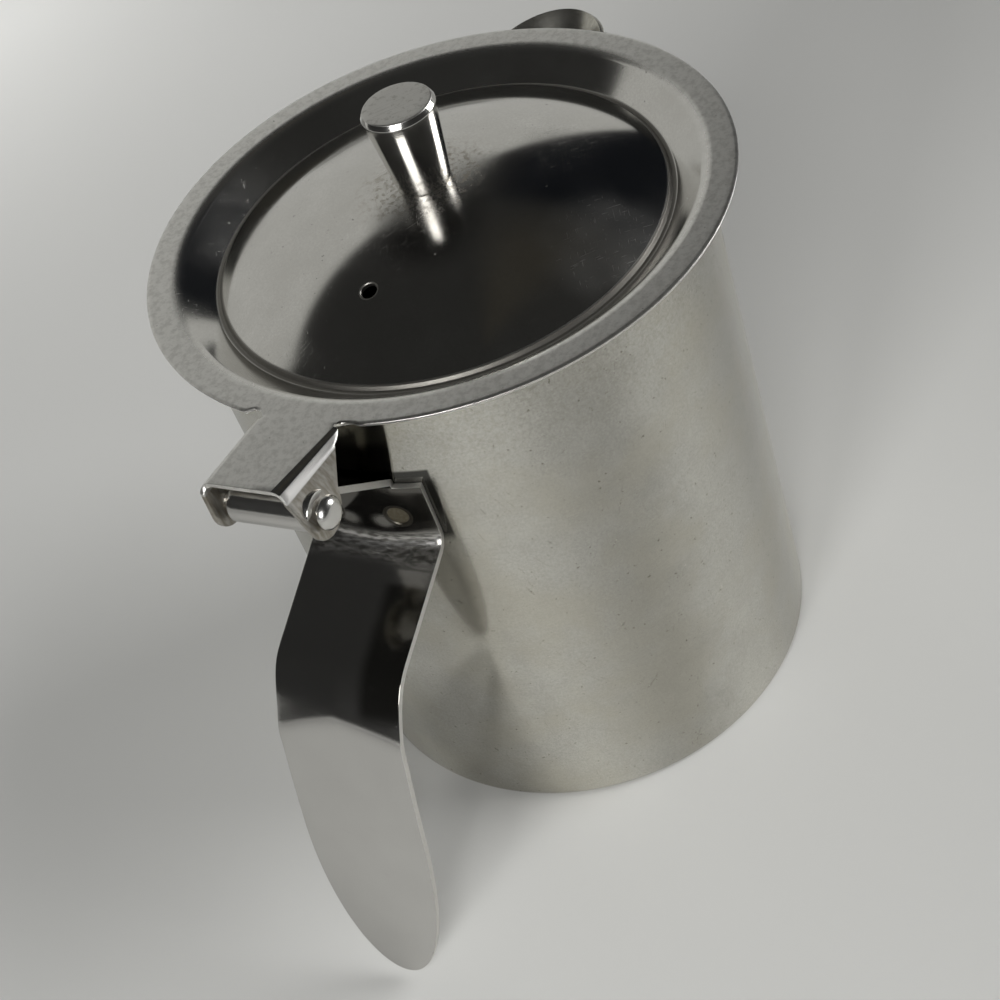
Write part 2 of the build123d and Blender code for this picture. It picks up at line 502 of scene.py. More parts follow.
def makePotSteel(finish):
    kit = MaterialKit("satinSteel", finish)
    x, y, z = kit.parts(kit.place)
    kit.axes = {"x": x, "aside": abs(y), "z": z}
    grain = kit.noise(*fineGrain)
    cloud = kit.noise(6, 4.0, 0.6)
    flecks = kit.noise(1.3, 4.0, 0.65)
    marks = kit.step(kit.streaks((0.5, 0.3, 0.9), (4, 0.10, 4), 1.0), 0.72, 0.78)
    specks = kit.patches(*finish["speckPatches"])
    # the wall behind the handle is never rubbed, so it keeps its shine
    shine = kit.zone("shelterZone")
    tone = grain * 0.55 + cloud * 0.30 + flecks * 0.15
    colour = kit.tint(kit.step(tone, 0.34, 0.66), finish["dark"], finish["light"])
    # turned brushing runs round the cup, under a faint warm film that is thickest below the rim
    angle = y.call("ARCTAN2", x)
    brushed = kit.drawnNoise(angle * 9, z * 5200, 0.0)
    worked = kit.zone("workedZone") * kit.patches(*finish["workedPatches"])
    colour = kit.layer("film", kit.patches(*finish["filmPatches"]), colour)
    colour = kit.layer("worked", worked, colour)
    colour = kit.layer("brushed", kit.step(brushed, 0.44, 0.70), colour)
    colour = kit.tint((specks * 0.7).call("MAXIMUM", marks * 0.3), colour, finish["speck"])
    # painted reflection: upright lighter and darker bands, evenly round the cup, stand in for the room
    # mirrored in the wall
    turn = (angle - finish["reflectionTurn"]) * finish["reflectionStripes"] + (cloud - 0.5) * 0.6
    reflectionGain = turn.call("COSINE") * finish["reflectionDepth"] + finish["reflectionMiddle"]
    colour = kit.node("ShaderNodeVectorMath", {"operation": "SCALE"}, {0: colour, 3: reflectionGain})
    rough = finish["roughness"] + grain * 0.10 + cloud * 0.05 + marks * 0.03
    roughness = rough + shine * (finish["shine"] - rough)
    haze = (finish["haze"] + (flecks - 0.5) * 0.08) * (1.0 - shine * 0.92)
    height = (grain * 0.6 + brushed * 0.25 - marks * 0.4 - specks * 0.3) * (1.0 - shine * 0.6)
    # painted shade: round the handle's plate the wall is painted almost black, standing in for the
    # shade and dark mirror image there
    colour = kit.layer("corner", kit.zone("plateShadowZone"), colour)
    return kit.endMetal(colour, roughness, height, haze)


# the zones' reach is from the lid's middle, rub from its rubbed patch, the painted shade over the
# knob's mirror image from that patch's middle, and vent from its vent hole
lidFinish = {
    "dark": (0.56, 0.55, 0.52),
    "light": (0.68, 0.67, 0.64),
    "satinTone": (0.76, 0.75, 0.72),
    "mottled": (0.40, (0.40, 0.39, 0.36)),
    "pits": (0.6, (0.16, 0.15, 0.13)),
    "stain": (0.7, (0.30, 0.25, 0.18)),
    "knobReflectionShade": (0.86, (0.14, 0.135, 0.127)),
    "grimeAndShade": (0.17, 0.16, 0.14),
    "ear": (0.27, 0.245, 0.20),
    "foldHighlight": (0.95, 0.94, 0.91),
    "mottledPatches": (1.1, 4.0, 0.7, 0.40, 0.66),
    "rubbedPatches": (12, 2.0, 0.5, 0.44, 0.66),
    "stainPatches": (0.9, 5.0, 0.75, 0.46, 0.66),
    "satinZone": [("reach", 36.6, 38.6)],
    "slopeZone": [("reach", 32.6, 33.4)],
    "grooveZone": [("reach", 31.7, 32.05), ("reach", 33.3, 32.8)],
    "knobZone": [("reach", 12, 4.5)],
    "rubZone": [("rub", 11, 3)],
    "knobReflectionShadeZone": [("knobReflectionShade", 10, 3)],
    "ventZone": [("vent", 1.55, 1.25)],
    "foldZone": [("fold", 0.0, 0.3), ("x", -40.5, -41.3)],
    "earZone": [("x", -42.0, -43.5)],
    "rubAt": (-4.5 * mm, -28.0 * mm, 87.8 * mm),
    "knobReflectionShadeAt": (-8.2 * mm, -4.0 * mm),
    "ventAt": (-19.6 * mm, 0.0, 89.95 * mm),
    "satin": 0.25,
    "slope": 0.13,
    "polish": 0.10,
    "haze": 0.008,
    "satinHaze": 0.20,
    "wide": 0.40,
    "depth": 0.004,
    "foldFrom": 42.0 * mm,
    "foldRun": 11.4 * mm,
    "foldFlat": (5.3 * mm, 2.3 * mm),
    "foldTop": 88.1 * mm,
    "foldRadius": (1.4 * mm, 1.0 * mm),
}


def makeLidSteel(finish):
    kit = MaterialKit("lidSteel", finish)
    x, y, z = kit.parts(kit.place)
    reach = length(x, y)
    shadeX, shadeY = finish["knobReflectionShadeAt"]
    ahead = (0.0 - x - finish["foldFrom"]) / finish["foldRun"]
    wide, narrow = finish["foldFlat"]
    kit.axes = {
        "x": x,
        "reach": reach,
        "rub": kit.distanceFrom(finish["rubAt"]),
        "knobReflectionShade": length(x - shadeX, y - shadeY),
        "vent": kit.distanceFrom(finish["ventAt"]),
        "fold": 0.0 - y - (wide + ahead * (narrow - wide)),
    }
    satin = kit.zone("satinZone")
    grain = kit.noise(*fineGrain)
    cloud = kit.noise(7, 3.0, 0.55)
    spokes = kit.drawnNoise(y.call("ARCTAN2", x) * 260, reach * 400, z * 400)
    pits = kit.patches(*pitPatches)
    hair = kit.streaks((0, 0, 0.65), (2.6, 0.09, 2.6), 1.0)
    across = kit.streaks((0, 0, -0.5), (2.0, 0.08, 2.0), 1.0)
    hair = kit.step(hair.call("MAXIMUM", across), 0.70, 0.77)
    rubbed = kit.patches(*finish["rubbedPatches"])
    nearKnob = kit.zone("knobZone")
    stain = nearKnob * kit.patches(*finish["stainPatches"])
    tone = cloud * 0.35 + grain * 0.35 + spokes * satin * 0.3
    colour = kit.tint(kit.step(tone, 0.26, 0.60), finish["dark"], finish["light"])
    colour = kit.tint(satin, colour, finish["satinTone"])
    colour = kit.layer("mottled", satin * kit.patches(*finish["mottledPatches"]), colour)
    colour = kit.layer("pits", pits, colour)
    colour = kit.layer("stain", stain, colour)
    # painted shade: the dome is darkened on the handle side of the knob's foot, where it mirrors the
    # knob's bright streaks
    colour = kit.layer("knobReflectionShade", kit.zone("knobReflectionShadeZone"), colour)
    polished = finish["polish"] + kit.zone("slopeZone") * (finish["slope"] - finish["polish"])
    polished = polished + rubbed * 0.04 + hair * rubbed * 0.12 + stain * 0.2 + nearKnob * 0.14
    rough = finish["satin"] + grain * 0.08 + spokes * 0.08
    roughness = polished + satin * (rough - polished)
    # one patch of the dome is rubbed by handling; the groove round it is dull, and darkened with grime
    # and painted shade
    patch = kit.zone("rubZone") * (0.65 + rubbed)
    grimeAndShade = kit.zone("grooveZone") * (0.8 + grain * 0.4).call("MINIMUM", 1.0)
    # the hinge side of the tab is bent sharply, so its fold shines; the ears are dull and streaked, and
    # darkened with painted shade
    radius, growth = finish["foldRadius"]
    turned = (finish["foldTop"] - z) / (radius + ahead * growth)
    ear = kit.step(turned, 0.56, 0.66) * kit.zone("earZone")
    worn = kit.drawnNoise(x * 1600, y * 500, z * 260)
    fold = kit.zone("foldZone") * (1.0 - ear)
    # painted highlight: past its first few degrees the fold is painted pale, and made rough so it
    # catches the light
    foldHighlight = fold * kit.step(turned, 0.14, 0.20)
    # the vent hole's rim is darkened with painted shade
    rim = kit.zone("ventZone")
    colour = kit.tint((grimeAndShade * 0.85).call("MAXIMUM", rim * 0.7), colour, finish["grimeAndShade"])
    colour = kit.tint(ear * kit.step(worn, 0.25, 0.75, 1.0, 0.45), colour, finish["ear"])
    roughness = roughness + grimeAndShade * 0.35 + patch * 0.04 + rim * 0.3 + ear * 0.1
    roughness = roughness + fold * (finish["polish"] - roughness) + foldHighlight * 0.34
    # the pale fold colour is a painted highlight
    colour = kit.tint(foldHighlight, colour, finish["foldHighlight"])
    haze = finish["haze"] + patch * 0.20 + patch * hair * 0.55
    haze = haze + satin * finish["satinHaze"] * (1.0 - fold)
    satin = satin * (1.0 - fold * 0.8)
    height = satin * (spokes * 1.2 + grain * 2.0) - pits * 3.0 - hair * rubbed * 0.6 + grain * 0.12
    return kit.endMetal(colour, roughness, height, haze)


# the zones' weld is the distance from the nearer weld, and the highlight's distance is from a painted
# highlight beside it
handleFinish = {
    "dark": (0.55, 0.54, 0.52),
    "light": (0.62, 0.61, 0.59),
    "bend": (0.85, (0.16, 0.155, 0.14)),
    "plateTintAndShade": (0.93, (0.09, 0.085, 0.075)),
    "diagonalShade": (0.85, (0.12, 0.115, 0.10)),
    "ring": (0.9, (0.05, 0.045, 0.035)),
    "weldHighlight": (0.55, 0.54, 0.50),
    "bendZone": [("z", 60.4, 61.1), ("z", 64.0, 63.2), ("x", -43, -42)],
    "plateZone": [("z", 63.2, 64.7), ("x", -40.5, -39.5)],
    "diagonalShadeZone": [("y", -2.5, -5.0), ("z", 60.7, 59.8), ("z", 49.5, 51.5), ("x", -43, -44)],
    "curlZone": [("x", -47.0, -48.5), ("z", 79, 80)],
    "kneeZone": [("z", 46, 47.5), ("z", 54, 51)],
    "dimpleZone": [("weld", 3.4, 1.2)],
    "ringZone": [("weld", 2.2, 1.95)],
    "weldHighlightZone": [("weldHighlight", 2.4, 0.7)],
    "weldAt": (5.1 * mm, 67.0 * mm),
    "weldHighlightAt": (2.7 * mm, 65.9 * mm),
    "polish": 0.075,
    "bendGrain": 0.14,
    "haze": 0.01,
    "wide": 0.45,
    "depth": 0.003,
}


def makeHandleSteel(finish):
    kit = MaterialKit("polishedSteel", finish)
    x, y, z = kit.parts(kit.place)
    weldY, weldZ = finish["weldAt"]
    highlightY, highlightZ = finish["weldHighlightAt"]
    kit.axes = {
        "x": x,
        "y": y,
        "z": z,
        "weld": length(abs(y) - weldY, z - weldZ),
        "weldHighlight": length(abs(y) - highlightY, (z - highlightZ) * 1.3),
    }
    cloud = kit.noise(8, 2.0, 0.5)
    ripple = kit.noise(3.2, 2.0, 0.5)
    pits = kit.patches(*pitPatches)
    hair = kit.step(kit.streaks((0.2, 0.4, 0.3), (0.09, 4, 4), 1.0), 0.70, 0.76)
    # the bend's skin is stretched and grainy, and each weld has drawn the plate in round it
    drawn = kit.streaks((0, 0, 0), (0.5, 1.4, 0.35), 3.0)
    onBend = kit.zone("bendZone")
    dimple = kit.zone("dimpleZone")
    colour = kit.tint(cloud, finish["dark"], finish["light"])
    colour = kit.layer("bend", onBend * kit.step(drawn, 0.40, 0.62), colour)
    # the plate is heat-tinted by its welds and darkened further with painted shade, and one edge of the
    # diagonal below the bend carries painted shade
    plateTintAndShade = kit.zone("plateZone")
    colour = kit.layer("plateTintAndShade", plateTintAndShade, colour)
    # painted shade: the diagonal's near edge below the bend is darkened where it mirrors the dark wall
    colour = kit.layer("diagonalShade", kit.zone("diagonalShadeZone"), colour)
    ring = plateTintAndShade * kit.zone("ringZone")
    # painted highlight: a pale, hazy spot beside each weld
    weldHighlight = plateTintAndShade * kit.zone("weldHighlightZone")
    colour = kit.tint(weldHighlight, colour, finish["weldHighlight"])
    colour = kit.layer("ring", ring, colour)
    # the knee and the curl have a fine dull grain
    grain = kit.noise(0.3, 3.0, 0.65)
    curl = kit.zone("curlZone")
    knee = kit.zone("kneeZone")
    roughness = finish["polish"] + cloud * 0.03 + hair * 0.04 + onBend * finish["bendGrain"]
    roughness = roughness + knee * (0.02 + grain * 0.05) + ring * 0.3 + curl * (0.02 + grain * 0.06)
    height = cloud * 2.0 + ripple * 1.0 - pits * 1.5 - hair * 0.2 - dimple * 7.0 + onBend * drawn * 14.0
    height = height + (knee + curl) * grain * 2.5
    haze = finish["haze"] + hair * 0.05 + onBend * 0.15 + weldHighlight * 0.4 + curl * 0.04
    return kit.endMetal(colour, roughness, height, haze)


shearedFinish = {
    "dark": (0.50, 0.49, 0.46),
    "light": (0.78, 0.77, 0.74),
    "grain": (0.25, 3.0, 0.7),
    "tears": (0.12, 0.3, 0.12),
    "roughness": 0.42,
    "wide": 0.5,
    "depth": 0.03,
}
weldFinish = {
    "dark": (0.10, 0.085, 0.055),
    "light": (0.30, 0.27, 0.20),
    "grain": (0.35, 3.0, 0.6),
    "roughness": 0.34,
    "wide": 0.5,
    "depth": 0.03,
}


def makeGrainySteel(name, finish):
    kit = MaterialKit(name, finish)
    grain = kit.noise(*finish["grain"])
    height = grain + kit.streaks((0, 0, 0), finish["tears"], 2.0) if "tears" in finish else grain
    colour = kit.tint(grain, finish["dark"], finish["light"])
    return kit.endMetal(colour, finish["roughness"] + grain * 0.2, height)


brightFinish = {
    "dark": (0.60, 0.59, 0.56),
    "light": (0.72, 0.71, 0.69),
    "scuffed": (0.34, 0.33, 0.30),
    "brushed": (0.4, (0.22, 0.21, 0.19)),
    "scuffPatches": (0.8, 4.0, 0.7, 0.52, 0.66),
    "topZone": [("z", 104.9, 105.0)],
    "rivetZone": [("x", -45, -46)],
    "roughness": 0.10,
    "haze": 0.015,
    "wide": 0.42,
    "depth": 0.002,
}


def makeBrightSteel(finish):
    kit = MaterialKit("brightSteel", finish)
    x, y, z = kit.parts(kit.place)
    kit.axes = {"x": x, "z": z}
    cloud = kit.noise(2.5, 3.0, 0.5)
    grain = kit.noise(0.25, 2.0, 0.6)
    turned = kit.drawnNoise(x * 60, y * 60, z * 5000, 2.0)
    scuffs = kit.patches(*finish["scuffPatches"])
    brushed = kit.streaks((0, 0, 0.9), (3.0, 0.16, 2.0), 2.0)
    colour = kit.tint(cloud, finish["dark"], finish["light"])
    # the knob's flat top is a little duller than its sides, and scuffed; the hinge rivet is duller too
    top = kit.zone("topZone")
    rivet = kit.zone("rivetZone")
    colour = kit.tint(top * (0.25 + scuffs * 0.45), colour, finish["scuffed"])
    colour = kit.layer("brushed", top * kit.step(brushed, 0.60, 0.72), colour)
    roughness = finish["roughness"] + cloud * 0.04 + grain * 0.03
    roughness = roughness + rivet * 0.09 + top * (0.16 + grain * 0.12)
    height = grain * (0.5 + top * 1.5) + turned * (1.0 - top) * (1.0 - rivet)
    return kit.endMetal(colour, roughness, height, finish["haze"] + (top + rivet) * 0.065)


potSteel = makePotSteel(potFinish)
lidSteel = makeLidSteel(lidFinish)
handleSteel = makeHandleSteel(handleFinish)
shearedSteel = makeGrainySteel("shearedSteel", shearedFinish)
brightSteel = makeBrightSteel(brightFinish)
weldSteel = makeGrainySteel("weldSteel", weldFinish)
print("materials ready")

floor = {
    "size": 6.0,
    "dark": (0.600, 0.600, 0.580),
    "light": (0.640, 0.640, 0.620),
    "cloud": 90,
    "roughness": 0.9,
}


def makeFloor():
    kit = MaterialKit("floorPaint", floor)
    colour = kit.tint(kit.noise(floor["cloud"]), floor["dark"], floor["light"])
    sockets = {"Base Color": colour, "Roughness": floor["roughness"], "Specular IOR Level": 0.0}
    shader = kit.node("ShaderNodeBsdfPrincipled", {}, sockets)
    kit.node("ShaderNodeOutputMaterial", {}, {0: shader})
    mesh = bpy.data.meshes.new("floor")
    half = floor["size"] / 2
    corners = [(-half, -half, 0), (half, -half, 0), (half, half, 0), (-half, half, 0)]
    mesh.from_pydata(corners, [], [(0, 1, 2, 3)])
    mesh.materials.append(kit.material)
    addPiece("floor", mesh)


makeFloor()

pot = {
    "radius": 37.15 * mm,
    "height": 85.9 * mm,
    "sheet": 0.8 * mm,
    "baseCorner": 1.4 * mm,
    "edge": 0.15 * mm,
    "columns": 300,
    "crowding": 0.68,
    # the gaps between rows under the base, up the plain wall and up the spout's wall
    "rowGaps": (6 * mm, 12 * mm, 1.1 * mm),
    "spoutMargin": 4 * mm,
    "spoutHeights": [58.0 * mm, 72.0 * mm, 82.0 * mm, 85.9 * mm],
    "spoutCentres": [33.6 * mm, 34.8 * mm, 36.2 * mm, 37.0 * mm],
    "spoutReaches": [2.6 * mm, 6.0 * mm, 9.6 * mm, 12.8 * mm],
    "spoutHalfWidths": [2.6 * mm, 5.4 * mm, 7.8 * mm, 9.7 * mm],
    "spoutFrom": 28.0 * mm,
    "spoutBlend": 0.10,
    "spoutRise": (0.0, 0.12),
    "spoutSide": (20 * mm, 24 * mm),
}


# Newton's form of the curve through the spout's sections, over how far up the spout a point is
def throughSections(values, steps):
    table = list(values)
    for level in range(1, len(table)):
        for i in range(len(table) - 1, level - 1, -1):
            table[i] = (table[i] - table[i - 1]) / (steps[i] - steps[i - level])

    def along(rise):
        total = table[-1]
        for value, step in zip(reversed(table[:-1]), reversed(steps[:-1])):
            total = total * (rise - step) + value
        return total

    return along


# pushes the wall out to an ellipse that grows towards the rim
def makeSpoutTree():
    kit, given = makeTree("drawnSpout", {"Material": "NodeSocketMaterial"})
    x, y, z = kit.parts(kit.node("GeometryNodeInputPosition"))
    low, high = pot["spoutHeights"][0], pot["spoutHeights"][-1]
    rise = ((z - low) / (high - low)).call("MAXIMUM", 0.0)
    steps = [(height - low) / (high - low) for height in pot["spoutHeights"]]
    centre = throughSections(pot["spoutCentres"], steps)(rise)
    reach = throughSections(pot["spoutReaches"], steps)(rise)
    halfWidth = throughSections(pot["spoutHalfWidths"], steps)(rise)
    origin = pot["spoutFrom"]
    aheadX = x - origin
    across = (aheadX / reach) ** 2.0 + (y / halfWidth) ** 2.0
    offset = (origin - centre) / reach
    lean = offset * aheadX / reach
    inside = lean * lean - across * (offset * offset - 1.0)
    push = (inside.call("MAXIMUM", 0.0).call("SQRT") - lean) / across
    push = push.call("SMOOTH_MAX", 1.0, pot["spoutBlend"])
    onWall = kit.step(rise, *pot["spoutRise"]) * kit.step(x, *pot["spoutSide"])
    push = 1.0 + (push - 1.0) * onWall
    moved = kit.joined(origin + aheadX * push, y * push, z)
    shell = kit.node("GeometryNodeSetPosition", {}, {0: given.out("Geometry"), 2: moved})
    endTree(kit, shell, given.out("Material"))
    return kit.tree


def makePot():
    radius, rounding = pot["radius"], pot["baseCorner"]
    spoutLow = pot["spoutHeights"][0] - pot["spoutMargin"]
    baseGap, wallGap, spoutGap = pot["rowGaps"]
    base = divideLine([Vector((0, 0)), Vector((radius - rounding, 0))], baseGap)[:-1]
    corner = bendLine([(0, 0, 0), (radius, 0, rounding), (radius, spoutLow, 0)], 8)
    lower = divideLine(corner[1:], wallGap)
    upper = divideLine([lower[-1], Vector((radius, pot["height"]))], spoutGap)
    profile = base + lower + upper[1:]
    piece = addTurned("pot_wall", profile, pot["columns"], potSteel, pot["crowding"])
    applyTree(piece, makeSpoutTree(), {"Material": potSteel})
    thicken(piece, pot["sheet"], pot["edge"])
    smooth(piece)
    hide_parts("body")
    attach(piece, "pot")


makePot()
print("pot ready")

lid = {
    "radius": 42.0 * mm,
    "top": 88.1 * mm,
    "sheet": 0.7 * mm,
    "rowGap": 1.5 * mm,
    "edgeDrop": 0.3 * mm,
    "edgeBend": 1.2 * mm,
    "flangeInner": 37.6 * mm,
    "grooveOuter": 33.1 * mm,
    "grooveInner": 32.5 * mm,
    "grooveDepth": 3.65 * mm,
    "grooveBends": (0.35 * mm, 0.2 * mm, 0.3 * mm),
    "domeRadius": 32.15 * mm,
    "domeEdgeDepth": 3.2 * mm,
    "domeRise": 4.7 * mm,
    "edge": 0.12 * mm,
    "columns": 248,
    "ventRadius": 1.15 * mm,
    "ventReach": 19.6 * mm,
    "ventFlare": 0.1 * mm,
    "domeStep": 1.2 * mm,
    "ventStep": 0.5 * mm,
    "ventNear": 2.5 * mm,
    "flangeBend": 2.8 * mm,
    "tabEnd": 53.5 * mm,
    "tabHalfWidth": 7.5 * mm,
    "foldBack": 41.95 * mm,
    "earBack": 44.2 * mm,
    "earTip": 3.5 * mm,
    "earSeat": 82.6 * mm,
    "tipTurn": math.radians(87),
    "tabColumns": 12,
    "pinReach": 51.5 * mm,
    "pinHeight": 83.2 * mm,
    "pinHole": 1.27 * mm,
    # each fold: its columns of the flange, the tab's flat half width and the fold's radius (at the
    # flange, at the front), how far it turns, how far its front corner sticks out, and the size of
    # the bite beside it
    "folds": {
        -1: {"columns": 5, "flat": (5.3 * mm, 2.3 * mm), "radius": (1.4 * mm, 2.4 * mm),
             "turn": math.radians(68), "corner": 0.6 * mm, "bite": 1.4 * mm},
        1: {"columns": 5, "flat": (5.3 * mm, 6.8 * mm), "radius": (1.3 * mm, 1.3 * mm),
            "turn": math.radians(84), "corner": 0.8 * mm, "bite": 3.6 * mm},
    },
}
domeDrop = lid["domeRise"] + lid["domeEdgeDepth"]
domeCurve = (lid["domeRadius"] ** 2 + domeDrop**2) / (2 * domeDrop)
domeCentre = lid["top"] + lid["domeRise"] - domeCurve


def domeHeight(reach):
    return domeCentre + math.sqrt(domeCurve**2 - reach**2)


def lidProfile():
    top, rim, dome, drop = lid["top"], lid["radius"], lid["domeRadius"], lid["edgeDrop"]
    bottom, edge, inner = top - lid["grooveDepth"], rim - 4 * drop, dome - lid["domeStep"]
    bends = lid["grooveBends"]
    outer = bendLine([(rim, top - drop / 2, 0), (rim - drop, top, lid["edgeBend"]), (edge, top, 0)], 3)
    slope = bendLine([
        (edge, top, 0),
        (lid["flangeInner"], top, lid["flangeBend"]),
        (lid["grooveOuter"], bottom, bends[0]),
        (lid["grooveInner"], bottom, bends[1]),
        (dome, domeHeight(dome), bends[2]),
        (inner, domeHeight(inner), 0),
    ], 8)
    # rows close together where the vent is cut, so the cut leaves the dome's shape alone
    reaches = [inner]
    while reaches[-1] > lid["domeStep"] * 1.5:
        near = abs(reaches[-1] - lid["ventReach"]) < lid["ventNear"]
        reaches.append(reaches[-1] - (lid["ventStep"] if near else lid["domeStep"]))
    crown = [Vector((reach, domeHeight(reach))) for reach in reaches + [0]]
    return divideLine(outer + slope[1:-1], lid["rowGap"]) + crown


def between(pair, part):
    return pair[0] + (pair[1] - pair[0]) * part


# one side of the tab from the fold outwards and down: rows of points from front to back
def earRows(side, count):
    fold = lid["folds"][side]
    top, pinHeight, half, tip = lid["top"], lid["pinHeight"], lid["tabHalfWidth"], lid["earTip"]
    hole = -lid["pinReach"]

    # y and z at a place down the section (0 to 1 round the fold, 1 to 2 down the ear)
    def section(down, ahead):
        radius, flat = between(fold["radius"], ahead), between(fold["flat"], ahead)
        turn = fold["turn"] * min(1, down)
        y, z = flat + radius * math.sin(turn), top - radius * (1 - math.cos(turn))
        below = max(0, down - 1)
        return between((y, half), below), between((z, lid["earSeat"]), below)

    rows = []
    for down in [i / 9 for i in range(1, 10)] + [1.25, 1.5, 1.75]:
        corner = -lid["tabEnd"] - fold["corner"] * min(1, down) ** 2
        front = between((corner, hole - tip), max(0, down - 1))
        backZ = section(down, 0)[1]
        lower = min(1, max(0, (top - lid["sheet"] - backZ) / (top - lid["sheet"] - pinHeight)))
        back = between((-lid["earBack"], hole + tip), lower)
        if backZ > top - lid["sheet"]:
            back = -between((lid["foldBack"], lid["earBack"]), ((top - backZ) / lid["sheet"]) ** 2)
        row = []
        for i in range(count + 1):
            y, z = section(down, 1 - i / count)
            row.append((between((front, back), i / count), side * y, z))
        rows.append(row)
    seat = math.asin((pinHeight - lid["earSeat"]) / tip)
    for i in range(10):
        turn = between((seat, lid["tipTurn"]), i / 9)
        width = tip * math.cos(turn)
        z = pinHeight - tip * math.sin(turn)
        rows.append([(hole + width * (2 * i / count - 1), side * half, z) for i in range(count + 1)])
    return rows


def addTab(bm):
    bm.verts.ensure_lookup_table()
    rimVerts = [v for v in bm.verts if v.is_boundary and v.co.x < 0]
    turnStep = math.tau / lid["columns"]
    near, far = lid["folds"][-1], lid["folds"][1]

    def rimAt(k):
        return min(rimVerts, key=lambda v: abs(math.atan2(v.co.y, -v.co.x) - k * turnStep))

    joined = [rimAt(k) for k in range(-near["columns"], far["columns"] + 1)]
    for v in bm.verts:
        column = math.atan2(v.co.y, -v.co.x) / turnStep
        if v.co.xy.length > lid["radius"] - 5 * lid["edgeDrop"] and v.co.x < 0:
            if -near["columns"] - 0.5 < column < far["columns"] + 0.5:
                v.co.z = lid["top"]
    # a small bite out of the flange either side of the tab lets the fold end cleanly
    for v in bm.verts:
        reach = v.co.xy.length
        column = round(math.atan2(v.co.y, -v.co.x) / turnStep)
        fold = lid["folds"][1 if column > 0 else -1]
        inner = lid["radius"] - fold["bite"]
        if reach > inner and abs(column) - fold["columns"] in (1, 2) and v.co.x < 0:
            v.co.xy *= (inner + (reach - inner) * 3 / 4) / reach
    count = lid["tabColumns"]
    rows = []
    for v in joined:
        flange, ahead = lid["folds"][1 if v.co.y > 0 else -1]["flat"]
        front = Vector((-lid["tabEnd"], v.co.y * ahead / flange, lid["top"]))
        rows.append([bm.verts.new(front.lerp(v.co, i / count)) for i in range(count)] + [v])
    for side in (-1, 1):
        for points in earRows(side, count):
            row = [bm.verts.new(point) for point in points]
            rows.insert(0 if side < 0 else len(rows), row)
    addRows(bm, rows)


# a hole's profile whose mouth flares out at the surface, deep enough to pass the sheet
def flaredHole(radius, flare, deep):
    wide = radius + flare
    return [(0, -deep), (radius, -deep), (radius, -flare), (wide, 0), (wide, deep), (0, deep)]


# turns all the faces outwards, as one face shows
def faceOutwards(bm, face, outwards):
    bmesh.ops.recalc_face_normals(bm, faces=bm.faces)
    if face.normal.dot(outwards) < 0:
        bmesh.ops.reverse_faces(bm, faces=bm.faces)


def addCutter(name, profile, turn, place):
    cutter = addTurned(name, profile, 40, lidSteel)
    cutter.data.transform(Matrix.Translation(place) @ turn.to_4x4())
    return cutter


def makeLid():
    piece = addTurned("lid_pan", lidProfile(), lid["columns"], lidSteel)
    bm = bmesh.new()
    bm.from_mesh(piece.data)
    addTab(bm)
    faceOutwards(bm, max(bm.faces, key=lambda face: face.calc_center_median().z), Vector((0, 0, 1)))
    bm.to_mesh(piece.data)
    bm.free()
    thicken(piece, lid["sheet"], lid["edge"])
    top = Vector((-lid["ventReach"], 0, domeHeight(lid["ventReach"])))
    lean = (top - Vector((0, 0, domeCentre))).to_track_quat("Z", "Y").to_matrix()
    vent = flaredHole(lid["ventRadius"], lid["ventFlare"], 3 * mm)
    cut(piece, addCutter("vent", vent, lean, top))
    hole, past = lid["pinHole"], 2 * lid["tabHalfWidth"]
    bore = [(0, -past), (hole, -past), (hole, past), (0, past)]
    across = Matrix.Rotation(math.radians(90), 3, "X")
    cut(piece, addCutter("bore", bore, across, Vector((-lid["pinReach"], 0, lid["pinHeight"]))))
    smooth(piece)
    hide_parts("lid")
    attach(piece, "lid")


makeLid()
print("lid ready")

handle = {
    "sheet": 1.0 * mm,
    "edge": 0.14 * mm,
    "wallReach": 38.15 * mm,
    "plateHalfWidth": 9.95 * mm,
    "split": 72.35 * mm,
    "tongueHalfWidth": 6.0 * mm,
    "tongueSlope": math.radians(42.6),
    "tongueShift": -0.5 * mm,
    "curlBore": 1.7 * mm,
    "curlTurn": math.radians(305),
    "tongueBend": 0.6 * mm,
    "bend": 2.0 * mm,
    "bladeHalfWidth": 9.75 * mm,
    "shoulder": 52.0 * mm,
    "plateFoot": 61.2 * mm,
    "diagonalStart": Vector((-35.2, 62.8)) * mm,
    "diagonalEnd": Vector((-53.3, 56.0)) * mm,
    "kneeEnd": Vector((-60.6, 48.2)) * mm,
    "kneeMiddle": Vector((-59.2, 51.5)) * mm,
    "kneeSlope": math.radians(57.0),
    "kneeLean": math.radians(1.5),
    "kneeFoot": 4.5 * mm,
    "kneeSag": {-1: (0.75 * mm, 2.2 * mm), 1: (0.75 * mm, 3.0 * mm)},
    "kneeSagPower": 1.2,
    "kneeDrift": 0.34,
    "bladeEnd": Vector((-70.9, 2.7)) * mm,
    "tipLength": 28.0 * mm,
    "weldRadius": 1.5 * mm,
    "weldFlare": 0.16 * mm,
}


def plateX(y):
    return -math.sqrt(handle["wallReach"] ** 2 - y**2)


def halfWidthAt(z):
    down = min(1, max(0, (handle["plateFoot"] - z) / (handle["plateFoot"] - handle["shoulder"])))
    return handle["plateHalfWidth"] + (handle["bladeHalfWidth"] - handle["plateHalfWidth"]) * down


